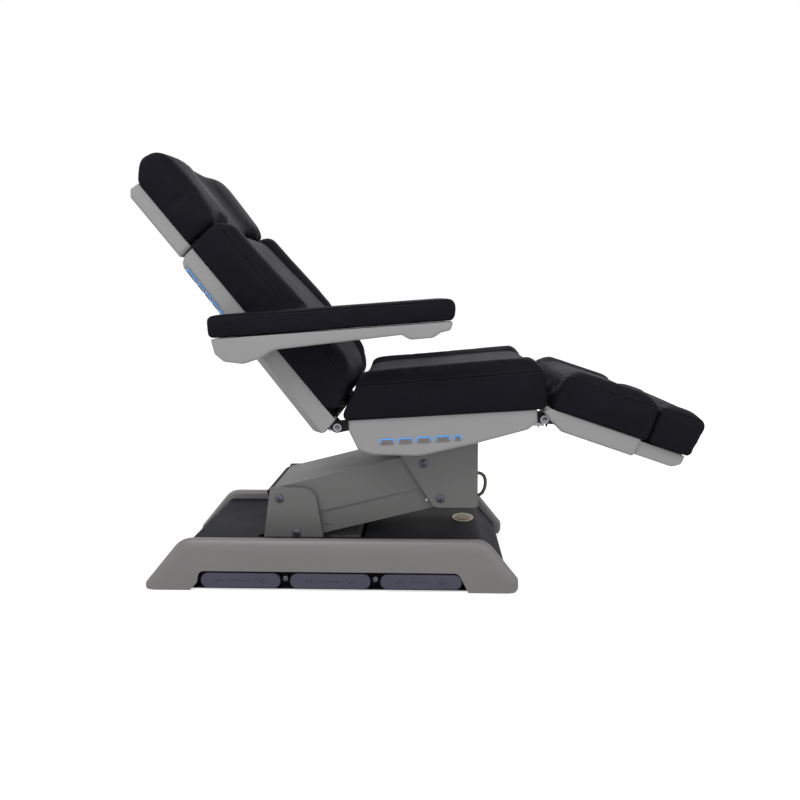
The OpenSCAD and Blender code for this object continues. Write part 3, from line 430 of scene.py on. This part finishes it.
def cushion(name, cad_node, body, section, corners, half, edge, crown, seams, cap=7):
    """Upholstered pad: crowned form, cover swollen under pressure, then its seams and stitching."""
    points, faces = pad_form(corners, half, edge, crown)
    made = add_object(name, to_row(points, section), faces, "upholstery", None)
    remesh = made.modifiers.new("even", "REMESH")
    remesh.mode, remesh.voxel_size, remesh.use_smooth_shade = "VOXEL", VOXEL, True
    evaluated(made)
    inflate(made, section, min(c[1] for c in corners), cap)
    smooth = made.modifiers.new("soften", "SMOOTH")
    smooth.factor, smooth.iterations = 0.5, 3
    round_off = made.modifiers.new("finer", "SUBSURF")
    round_off.levels = round_off.render_levels = 1
    evaluated(made)
    made.data.materials.clear()
    made.data.materials.append(PAINT["upholstery"])
    made.data.polygons.foreach_set("use_smooth", [True] * len(made.data.polygons))
    skin = BVHTree.FromPolygons([v.co for v in made.data.vertices],
                                [tuple(p.vertices) for p in made.data.polygons])
    beads, threads = [], []
    for path in seams:
        placed, _ = on_skin(skin, resampled(to_row(path, section), 0.008), 0.0002)
        beads.append(tube(placed, 0.0011, 5))
        threads.append(stitch_rows(skin, placed, (-STITCH_OFFSET, STITCH_OFFSET)))
    trim = [add_object(name + "_seams", *joined(beads), "seam_leather", body),
            add_object(name + "_stitches", *joined(threads), "thread", body)]
    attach(made, body)
    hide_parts(cad_node)
    return made, trim


def mirrored(made, name, body, *replaced):
    """Copy of a piece on the far side of the table."""
    mesh = made.data.copy()
    co = np.zeros(len(mesh.vertices) * 3)
    mesh.vertices.foreach_get("co", co)
    co = co.reshape(-1, 3) * (1, -1, 1)
    mesh.vertices.foreach_set("co", co.ravel())
    mesh.flip_normals()
    copy = bpy.data.objects.new(name, mesh)
    SCENE.collection.objects.link(copy)
    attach(copy, body)
    if replaced:
        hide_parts(*replaced)
    return copy


def across(y, rim=0.98, middle=0.56):
    """Cross profile of the pads: a firm middle, a sewn channel on each side and a fuller roll outside it."""
    grid = np.arange(0, 301.0)
    rough = np.interp(grid, [0, 130, 190, 205, 222, 240, 262, 286, 300],
                      [middle + 0.02, middle, middle - 0.05, 0.42, 0.7, rim, rim - 0.05, 0.5, 0])
    kernel = np.ones(15) / 15
    padded = np.concatenate((rough[7:0:-1], rough, np.full(7, rough[-1])))
    soft = np.convolve(padded, kernel, "valid")
    soft -= 0.16 * np.exp(-((grid - CHANNEL) / 4.0) ** 2)
    return np.interp(y, grid, soft)


def line(x0, x1, y, z, step=8):
    """Path along a pad at one width, with a height at each end."""
    xs = np.linspace(x0, x1, max(2, int(abs(x1 - x0) / step)))
    return np.stack((xs, np.full_like(xs, y), np.interp(xs, [x0, x1], z)), 1)


def channels(x0, x1, z):
    """The sewn channel on each side of a pad's middle."""
    return [line(x0, x1, side * CHANNEL, z) for side in (-1, 1)]


def boxing(x0, x1, z0, z1, half=HALF, inset=5, radius=16):
    """Closed seam round a pad's top edge."""
    pts = []
    wide = half - inset - radius
    for cx, cy, start in ((x1 - radius, wide, 0), (x0 + radius, wide, 90),
                          (x0 + radius, -wide, 180), (x1 - radius, -wide, 270)):
        for k in range(7):
            a = math.radians(start + 15 * k)
            pts.append((cx + radius * math.cos(a), cy + radius * math.sin(a)))
    pts.append(pts[0])
    return np.array([(x, y, np.interp(x, [x0, x1], [z0, z1])) for x, y in pts])


def head_seams():
    """Crease between the headrest's near lobe and its hollow."""
    bends = [-855, -770, -700, -664]
    xs = np.linspace(bends[0], bends[-1], 30)
    ys = np.interp(xs, bends, [160, 120, 96, 114])
    return [np.stack((xs, -ys, np.full_like(xs, 108)), 1)]


def make_cushions():
    seat_len = 575
    seat_crown = lambda x, y: 33 * across(y) * ease((x + 15) / 60) * ease((seat_len + 20 - x) / 60)
    cushion("seat_pad", "seat_cushion", "seat", SEAT,
            [(-32, 0, 14), (seat_len, 0, 16), (seat_len + 3, PAD + 12, 18), (24, PAD - 1, 16)],
            HALF, 14, seat_crown,
            [boxing(24, seat_len + 2, PAD - 2, PAD + 11)] + channels(28, seat_len - 4, (PAD + 18, PAD + 30)))

    back_len = 644
    hollow = lambda x, y: 20 * np.clip(-300 - x, 0, None) / (back_len - 300) * ease((235 - y) / 40)
    back_crown = lambda x, y: ((26 + 14 * ease((x + 600) / 300)) * across(y) * ease((x + back_len + 20) / 60)
                               * ease((-10 - x) / 120) - hollow(x, y))
    cushion("back_pad", "back_cushion", "back", BACK,
            [(-back_len, 0, 12), (-30, 0, 30), (-8, 28, 14), (-40, PAD - 8, 24), (-170, PAD, 60),
             (-back_len, PAD, 14)],
            HALF, 14, back_crown,
            [boxing(-back_len + 2, -44, PAD, PAD - 2)] + channels(-back_len + 4, -60, (PAD + 14, PAD + 10)))

    head_start, head_end = -647, -892
    lobes = lambda y: np.interp(y, [0, 60, 95, 125, 160, 200, 245, 286, 300],
                                [-1.7, -1.55, -0.9, 0.1, 0.75, 0.85, 0.5, -0.05, -0.35])
    head_crown = lambda x, y: (13 * lobes(y) * ease((x - head_end + 20) / 80)
                               * ease((head_start + 80 - x) / 100))
    cushion("headrest_pad", "headrest_cushion", "head", BACK,
            [(head_end + 22, 0, 10), (head_start, 0, 12), (head_start, PAD, 18), (head_end - 4, PAD + 8, 38),
             (head_end - 22, 48, 38)], HALF, 16, head_crown, head_seams())

    leg_start, leg_end = 6, 297
    leg_crown = lambda x, y: (21 * across(y) * ease((x - leg_start + 15) / 60)
                              * ease((leg_end + 60 - x) / 120))
    cushion("leg_pad", "leg_cushion", "leg", LEG,
            [(leg_start, 0, 12), (leg_end, -1, 12), (leg_end + 1, PAD, 16), (leg_start, PAD - 2, 18)],
            HALF, 14, leg_crown,
            [boxing(leg_start + 4, leg_end - 3, PAD - 2, PAD)]
            + channels(leg_start + 14, leg_end - 10, (PAD + 10, PAD + 10)))

    foot_start, foot_end = 300.5, 437
    foot_crown = lambda x, y: (10 * across(y) * ease((x - foot_start + 15) / 40)
                               * ease((foot_end + 20 - x) / 60))
    cushion("foot_pad", "foot_cushion", "foot", LEG,
            [(foot_start, 0, 12), (foot_start + 26, -4, 10), (foot_end - 6, -4, 14),
             (foot_end + 2, PAD + 4, 18), (foot_start, PAD + 3, 14)],
            HALF, 14, foot_crown, [boxing(foot_start + 4, foot_end - 4, PAD + 3, PAD + 4)])

    arm_half, arm_out = 45, -0.357
    pad, trim = cushion("right_armrest_padding", "right_armrest_pad", "right_armrest",
                        Matrix.Translation(Vector((0, arm_out, 0))) @ ARM,
                        [(-95, 22, 8), (585, 23, 10), (594, 79, 18), (-95, 80, 14)],
                        arm_half, 10, lambda x, y: 3.0 + 0 * x,
                        [boxing(-92, 588, 80, 78, half=arm_half, inset=4, radius=12)], cap=3)
    copy = mirrored(pad, "left_armrest_padding", "left_armrest", "left_armrest_pad")
    for piece, tail in zip(trim, ("seams", "stitches")):
        mirrored(piece, "left_armrest_padding_" + tail, "left_armrest")


def dress_nodes():
    """Finishes, and softened edges or kept creases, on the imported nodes."""
    slots = {entry["node"]: entry["material_slot"] for entry in frame["record"]["subparts"]}
    for name, made in NODES.items():
        paint = PAINT.get(FINISH.get(name, slots.get(name)), PAINT["frame_black"])
        for holder in made.material_slots:
            holder.material = paint
        if not made.material_slots:
            made.data.materials.append(paint)
        made.data.polygons.foreach_set("use_smooth", [True] * len(made.data.polygons))
        weld = made.modifiers.new("weld", "WELD")
        weld.merge_threshold = WELD_GAP
        moulded = "shell" in name or "skirt" in name or name in ("cable_loop", "badge_plate")
        if moulded:
            crease = made.modifiers.new("creases", "EDGE_SPLIT")
            crease.split_angle = math.radians(CREASE_TURN)
        else:
            bevel = made.modifiers.new("soft_edges", "BEVEL")
            bevel.width = EDGE_WIDTH
            bevel.segments = 2
            bevel.limit_method = "ANGLE"
            bevel.angle_limit = math.radians(BEVEL_TURN)
            bevel.harden_normals = True
        even = made.modifiers.new("even_shade", "WEIGHTED_NORMAL")
        even.keep_sharp = True


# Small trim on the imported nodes
def corner_path(points, radius, steps=5):
    """Open path with its inner corners rounded, as [across, up] pairs."""
    pts = [np.array(p, float) for p in points]
    out = [pts[0]]
    for a, b, c in zip(pts, pts[1:], pts[2:]):
        u, v = unit(a - b), unit(c - b)
        for k in range(steps + 1):
            t = k / steps
            out.append((b + u * radius) * (1 - t) ** 2 + b * 2 * t * (1 - t) + (b + v * radius) * t ** 2)
    return out + [pts[-1]]


def key_row(first, sizes, gap):
    """Start and size of each key of a row."""
    out = []
    for size in sizes:
        out.append((first, size))
        first += size + gap
    return out


def back_key_place(side):
    """Frame of the key row on the back shell's slanted edge, for the side -1 or 1."""
    fall, slant = math.atan(16 / 617), math.atan(20.5 / 29)
    turn = Matrix.Rotation(fall, 4, "Y") @ Matrix.Rotation(-slant, 4, "X")
    flip = Matrix.Diagonal((1, -side, 1, 1))
    return BACK @ flip @ Matrix.Translation(Vector((-602 * MM, -266.5 * MM, -54.6 * MM))) @ turn


def key_trim(keys, place, low, high, face):
    """Lit rims round the upper part of a row of keys, and the strokes of their pictograms."""
    lights, marks = [], []
    for first, size in keys:
        foot = low + (high - low) * (0.25 if size < 18 else 0.3)
        rim = [(first + 1, foot), (first + 1, high), (first + size - 1, high), (first + size - 1, foot)]
        path = [place(x, z, face) for x, z in corner_path(rim, 4)]
        lights.append(tube(path, 1.0 * MM, 8))
        middle = low + (high - low) * 0.42
        strokes = 3 if size > 30 else 2 if size > 16 else 1
        for k in range(strokes):
            x = first + size * (0.28 + 0.44 * (k + 0.5) / strokes)
            reach = size * 0.44 / strokes * 0.36
            tip = 1.2 if k % 2 else -1.0
            marks.append(tube([place(x - reach, middle - tip, face - 0.4), place(x, middle + tip, face - 0.4),
                               place(x + reach, middle - tip * 0.6, face - 0.4)], 0.55 * MM, 5))
    return joined(lights), joined(marks)


def chevron(place, x, z, up, face):
    """Arrow head on a pedal, pointing up or down."""
    rise = 5.5 if up else -5.5
    return tube([place(x - 12, z - rise * 0.9, face), place(x - 1.5, z + rise * 0.9, face),
                 place(x + 1.5, z + rise * 0.9, face), place(x + 12, z - rise * 0.9, face)], 0.9 * MM, 6)


def dome(centre, normal, radius, height, sides=20, steps=4):
    """Low domed head that stands on a face; few sides make it a nut."""
    centre, normal = np.array(centre, float), unit(np.array(normal, float))
    one = unit(np.cross(normal, (0, 0, 1) if abs(normal[2]) < 0.9 else (1, 0, 0)))
    two = np.cross(normal, one)
    rows, faces = [], []
    for k in range(steps):
        lean = math.pi / 2 * k / steps
        for i in range(sides):
            turn = 2 * math.pi * i / sides
            spoke = one * math.cos(turn) + two * math.sin(turn)
            rows.append(tuple(centre + spoke * radius * math.cos(lean) + normal * height * math.sin(lean)))
    rows.append(tuple(centre + normal * height))
    for k in range(steps - 1):
        for i in range(sides):
            j = (i + 1) % sides
            faces.append((k * sides + i, k * sides + j, (k + 1) * sides + j, (k + 1) * sides + i))
    top = (steps - 1) * sides
    faces += [(top + i, top + (i + 1) % sides, steps * sides) for i in range(sides)]
    faces.append(tuple(range(sides - 1, -1, -1)))
    return rows, faces


def add_trim(name, form, material, body):
    return add_object(name, *form, material, body)


def make_trim():
    """Key rims and pictograms on both sides, and the marks on the pedals."""
    for side, hand in ((-1, "right"), (1, "left")):
        seat_place = lambda x, z, out: tuple(to_row([(x, side * out, z)], SEAT)[0])
        lights, marks = key_trim(key_row(82, (42, 42, 42, 42, 20), 13), seat_place, -80, -63, 287.2)
        add_trim("seat_key_lights_" + hand, lights, "key_light", "seat")
        add_trim("seat_key_marks_" + hand, marks, "ink", "seat")
        slanted = back_key_place(side)
        back_place = lambda x, z, out: tuple(to_row([(x, -z, -out)], slanted)[0])
        lights, marks = key_trim([(x + 602, size) for x, size in key_row(-602, (44, 26, 26, 26, 14), 7)],
                                 back_place, -15, 5, 2.4)
        add_trim("back_key_lights_" + hand, lights, "key_light", "back")
        add_trim("back_key_marks_" + hand, marks, "ink", "back")
        floor_place = lambda x, z, out: (x * MM, side * out * MM, z * MM)
        for k in range(3):
            x0 = PEDAL_START + PEDAL_PITCH * k
            z, face = 33, 291.3
            strokes = [chevron(floor_place, x0 + 58, z, True, face),
                       chevron(floor_place, x0 + 185, z, False, face)]
            dashes = (((92, -1), (108, -1)), ((112, -1.5), (128, -1)), ((132, -1), (150, -1.5)))
            for n, ((a, za), (b, zb)) in enumerate(dashes):
                lift = 4 if (k == 0 and n == 0) else -4 if (k == 2 and n == 2) else 0
                crest = z + (za + zb) / 2 + 0.6 + abs(lift) * 0.4
                strokes.append(tube([floor_place(x0 + a, z + za + max(0, lift), face),
                                     floor_place(x0 + (a + b) / 2, crest, face),
                                     floor_place(x0 + b, z + zb + min(0, lift), face)], 0.9 * MM, 6))
            pedal = "%s_pedal_%d" % (hand, k + 1)
            add_trim(pedal + "_marks", joined(strokes), "ink", pedal + "_body")


def make_fixings():
    """Cover screws, hinge nuts, near-black hexagons of painted shade for the sockets of the pivot bolts, and
    the badge's face.
    """
    fall = math.radians(ARM_SLOPE)
    screws = []
    for y in (-125, 125):
        x = REAR_PIVOTS[0][0] + 30 * math.cos(fall) - 34 * math.sin(fall)
        z = REAR_PIVOTS[0][1] + 30 * math.sin(fall) + 34 * math.cos(fall)
        screws.append(dome((x * MM, y * MM, z * MM), (-math.sin(fall), 0, math.cos(fall)),
                           4.5 * MM, 2.2 * MM))
    add_trim("upper_cover_screws", joined(screws), "steel", "upper_arm_body")
    nuts = []
    for x, z in HINGES:
        for side in (-1, 1):
            face = (x * MM, side * 234 * MM, z * MM)
            nuts.append(dome(face, (0, side, 0), 8.5 * MM, 3.5 * MM, 6, 2))
            nuts.append(dome((x * MM, side * 235.5 * MM, z * MM), (0, side, 0), 4.5 * MM, 4.5 * MM))
    add_trim("hinge_nuts", joined(nuts), "steel", "seat")
    # Flat near-black hexagons on the pivot bolts' heads: painted shade standing in for the inside of their
    # hex sockets
    hexagon = [(math.cos(math.radians(60 * k)), math.sin(math.radians(60 * k))) for k in range(6)]
    out = 174.1
    for name, body, spots in (("lower_bolt_socket_shade", "base", REAR_PIVOTS),
                              ("upper_bolt_socket_shade", "column", FRONT_PIVOTS)):
        rows, faces = [], []
        for x, z in spots:
            for side in (-1, 1):
                base = len(rows)
                for size, y in ((3.4, out), (2.6, out - 1.2)):
                    rows += [((x + c * size) * MM, side * y * MM, (z + s * size) * MM) for c, s in hexagon]
                faces += [(base + k, base + (k + 1) % 6, base + 6 + (k + 1) % 6, base + 6 + k)
                          for k in range(6)]
                faces.append(tuple(base + k for k in range(6)))
        add_object(name, rows, faces, "socket_shade_black", body, smooth=False)
    rings = []
    count = 48
    centre_x, centre_y, deck_top, half_x, half_y = 158, 34, 132, 36, 46
    for scale, lift in ((0.84, 2.6), (0.80, 3.1), (0.45, 3.5), (0.0, 3.6)):
        rings.append([((centre_x + half_x * scale * math.cos(a)) * MM,
                       (centre_y + half_y * scale * math.sin(a)) * MM, (deck_top + lift) * MM)
                      for a in np.linspace(0, 2 * math.pi, count, endpoint=False)])
    rows = [p for ring in rings for p in ring]
    faces = [(i * count + k, i * count + (k + 1) % count,
              (i + 1) * count + (k + 1) % count, (i + 1) * count + k)
             for i in range(len(rings) - 1) for k in range(count)]
    add_object("badge_face", rows, faces, "badge_gold", "base")


# Studio: the floor's own light as the camera sees it, and each lamp's place, aim, size and power
FLOOR_LIFT = 0.6
LAMPS = (
    ("key", (-1.2, -2.2, 3.2), (0, 0, 0.5), (2.4, 1.6), 52),
    ("fill", (2.2, -2.8, 1.6), (0, 0, 0.5), (2.0, 1.6), 22),
    ("back", (0.6, 2.6, 2.8), (0, 0, 0.6), (2.6, 1.2), 34),
)


def make_studio():
    world = bpy.data.worlds.new("studio")
    SCENE.world = world
    world.use_nodes = True
    tree = world.node_tree
    background = tree.nodes["Background"]
    ray = node(tree, "ShaderNodeLightPath")
    seen = node(tree, "ShaderNodeMath", operation="MAXIMUM")
    tree.links.new(ray.outputs["Is Camera Ray"], seen.inputs[0])
    tree.links.new(ray.outputs["Is Transmission Ray"], seen.inputs[1])
    either = node(tree, "ShaderNodeMath", operation="MAXIMUM")
    tree.links.new(seen.outputs["Value"], either.inputs[0])
    tree.links.new(ray.outputs["Is Glossy Ray"], either.inputs[1])
    level = node(tree, "ShaderNodeMapRange", [("Value", either.outputs["Value"])])
    level.inputs["To Min"].default_value = 0.5
    level.inputs["To Max"].default_value = 1.0
    tree.links.new(level.outputs["Result"], background.inputs["Strength"])
    background.inputs["Color"].default_value = (1, 1, 1, 1)

    material, tree, shader = new_material("floor")
    shader.inputs["Base Color"].default_value = (0.9, 0.9, 0.9, 1)
    shader.inputs["Specular IOR Level"].default_value = 0.1
    place = node(tree, "ShaderNodeTexCoord").outputs["Object"]
    grain = node(tree, "ShaderNodeTexNoise", [("Vector", place)], Scale=40.0, Detail=3.0)
    tone = node(tree, "ShaderNodeMapRange", [("Value", grain.outputs["Fac"])])
    tone.inputs["To Min"].default_value, tone.inputs["To Max"].default_value = 0.88, 0.92
    tree.links.new(tone.outputs["Result"], shader.inputs["Roughness"])
    ray = node(tree, "ShaderNodeLightPath")
    lift = node(tree, "ShaderNodeMath", operation="MULTIPLY")
    tree.links.new(ray.outputs["Is Camera Ray"], lift.inputs[0])
    lift.inputs[1].default_value = FLOOR_LIFT
    shader.inputs["Emission Color"].default_value = (1, 1, 1, 1)
    tree.links.new(lift.outputs["Value"], shader.inputs["Emission Strength"])
    mesh = bpy.data.meshes.new("floor")
    size = 14
    corners = [(-size, -size, 0), (size, -size, 0), (size, size * 2, 0), (-size, size * 2, 0)]
    mesh.from_pydata(corners, [], [(0, 1, 2, 3)])
    mesh.materials.append(material)
    floor = bpy.data.objects.new("floor", mesh)
    SCENE.collection.objects.link(floor)

    for name, at, aim, size, power in LAMPS:
        data = bpy.data.lights.new(name, "AREA")
        data.shape = "RECTANGLE"
        data.size, data.size_y = size
        data.energy = power
        lamp = bpy.data.objects.new(name, data)
        SCENE.collection.objects.link(lamp)
        lamp.location = at
        lamp.rotation_euler = (Vector(aim) - Vector(at)).to_track_quat("-Z", "Y").to_euler()


make_camera()
make_studio()
dress_nodes()
make_trim()
make_fixings()
make_cushions()
